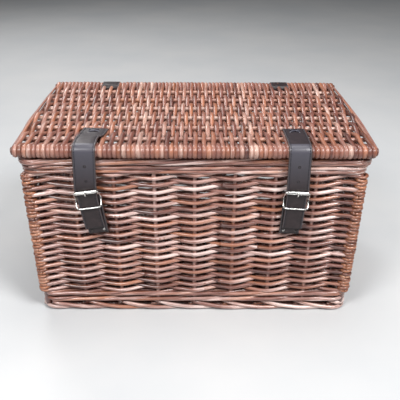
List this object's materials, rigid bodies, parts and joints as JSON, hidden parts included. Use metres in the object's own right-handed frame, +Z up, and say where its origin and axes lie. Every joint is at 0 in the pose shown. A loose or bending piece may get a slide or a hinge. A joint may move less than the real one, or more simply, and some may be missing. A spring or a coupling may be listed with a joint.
{
  "type": "lidded wicker hamper",
  "caption": "Rectangular woven willow hamper with a flat lid hinged at the rear, closed by two buckled leather straps.",
  "frame": {"origin": "middle of the whole hamper's footprint, on the floor", "axes": "+Z up, +X to the right seen from the front, the front with the straps faces -Y"},
  "size_m": [0.51, 0.3373, 0.2843],
  "materials": {
    "willow": "satin varnish",
    "willow_dark": "satin varnish",
    "leather": "waxed",
    "steel": "bright nickel plate",
    "thread": "waxed thread"
  },
  "bodies": {
    "basket": {"foot_border": "willow", "bottom_wale": "willow", "base_weave": "willow", "base_sticks": "willow_dark", "corner_posts": "willow_dark", "corner_wraps": "willow", "front_stakes": "willow_dark", "rear_stakes": "willow_dark", "left_stakes": "willow_dark", "right_stakes": "willow_dark", "front_weave": "willow", "rear_weave": "willow", "left_weave": "willow", "right_weave": "willow", "top_wale": "willow", "rim_border": "willow", "hinge_loop_left": "leather", "hinge_loop_right": "leather", "chape_left": "leather", "chape_right": "leather", "chape_rivets": "steel"},
    "lid": {"lid_weave": "willow", "lid_sticks": "willow_dark", "lid_front_rod": "willow_dark", "lid_rear_rod": "willow_dark", "lid_side_rods": "willow_dark", "tab_stitches": "thread"},
    "strap_left": {"strap_left": "leather"},
    "strap_right": {"strap_right": "leather"},
    "buckle_left": {"buckle_frame_left": "steel"},
    "buckle_right": {"buckle_frame_right": "steel"},
    "roller_left": {"roller_left": "steel"},
    "roller_right": {"roller_right": "steel"},
    "tongue_left": {"tongue_left": "steel"},
    "tongue_right": {"tongue_right": "steel"}
  },
  "joints": [
    {"name": "lid_hinge", "type": "hinge", "parent": "basket", "child": "lid", "pos_m": [0, 0.15745, 0.2713], "axis": [-1, 0, 0], "range_deg": [0, 105], "deforming": ["hinge_loop_left", "hinge_loop_right", "strap_left", "strap_right"]},
    {"name": "strap_left_hang", "type": "hinge", "parent": "lid", "child": "strap_left", "pos_m": [-0.152, -0.15115, 0.2713], "axis": [-1, 0, 0], "range_deg": [-84, 0]},
    {"name": "buckle_left_rock", "type": "hinge", "parent": "basket", "child": "buckle_left", "pos_m": [-0.152, -0.15318, 0.20111], "axis": [0.9903, -0.0071, 0.139], "range_deg": [0, 6]},
    {"name": "roller_left_spin", "type": "hinge", "parent": "buckle_left", "child": "roller_left", "pos_m": [-0.15381, -0.16283, 0.21351], "axis": [0.9903, -0.0071, 0.139], "continuous": true},
    {"name": "tongue_left_lift", "type": "hinge", "parent": "buckle_left", "child": "tongue_left", "pos_m": [-0.152, -0.15318, 0.20111], "axis": [0.9903, -0.0071, 0.139], "range_deg": [0, 60]},
    {"name": "strap_right_hang", "type": "hinge", "parent": "lid", "child": "strap_right", "pos_m": [0.145, -0.15115, 0.2713], "axis": [-1, 0, 0], "range_deg": [-84, 0]},
    {"name": "buckle_right_rock", "type": "hinge", "parent": "basket", "child": "buckle_right", "pos_m": [0.145, -0.15318, 0.20111], "axis": [0.9986, 0.0027, -0.0523], "range_deg": [0, 6]},
    {"name": "roller_right_spin", "type": "hinge", "parent": "buckle_right", "child": "roller_right", "pos_m": [0.14568, -0.16283, 0.21361], "axis": [0.9986, 0.0027, -0.0523], "continuous": true},
    {"name": "tongue_right_lift", "type": "hinge", "parent": "buckle_right", "child": "tongue_right", "pos_m": [0.145, -0.15318, 0.20111], "axis": [0.9986, 0.0027, -0.0523], "range_deg": [0, 60]}
  ],
  "couplings": [
    {"joint": "strap_left_hang", "follows": "lid_hinge", "ratio": -0.8},
    {"joint": "strap_right_hang", "follows": "lid_hinge", "ratio": -0.8}
  ]
}
